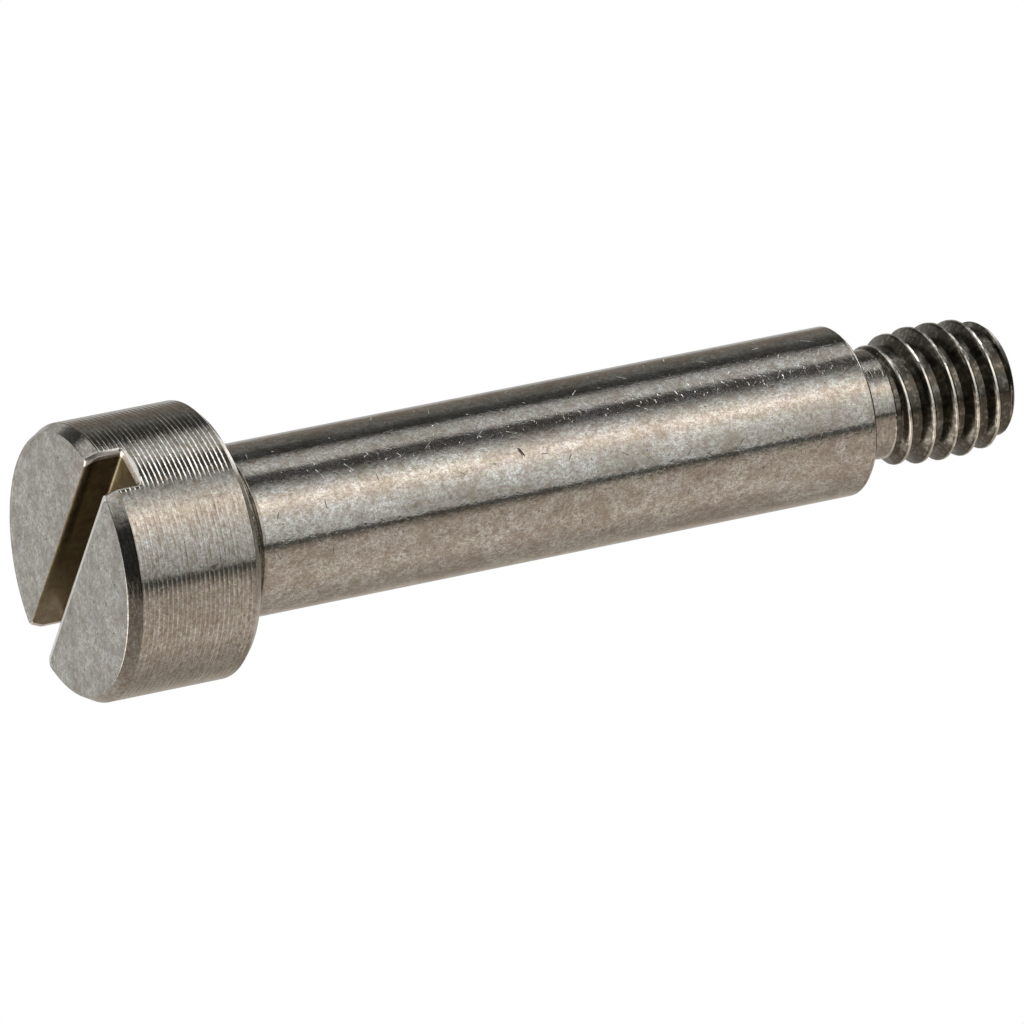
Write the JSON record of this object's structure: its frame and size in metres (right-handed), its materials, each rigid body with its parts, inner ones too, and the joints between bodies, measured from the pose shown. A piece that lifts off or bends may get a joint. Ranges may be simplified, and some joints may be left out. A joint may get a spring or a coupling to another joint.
{
  "type": "shoulder bolt",
  "caption": "Slotted shoulder bolt: a cylindrical head with a driver slot, a plain round shoulder that a part turns on, a relieved neck and a short metric thread.",
  "frame": {"origin": "centre of the head's slotted face, on which the bolt stands", "axes": "+Z along the bolt's axis, from the head towards the threaded end; +X along the driver slot"},
  "size_m": [0.0078, 0.0078, 0.029],
  "materials": {
    "stainless_steel": "turned, then lightly tumbled, satin"
  },
  "bodies": {
    "root": {"shoulder_bolt": "stainless_steel"}
  },
  "joints": []
}
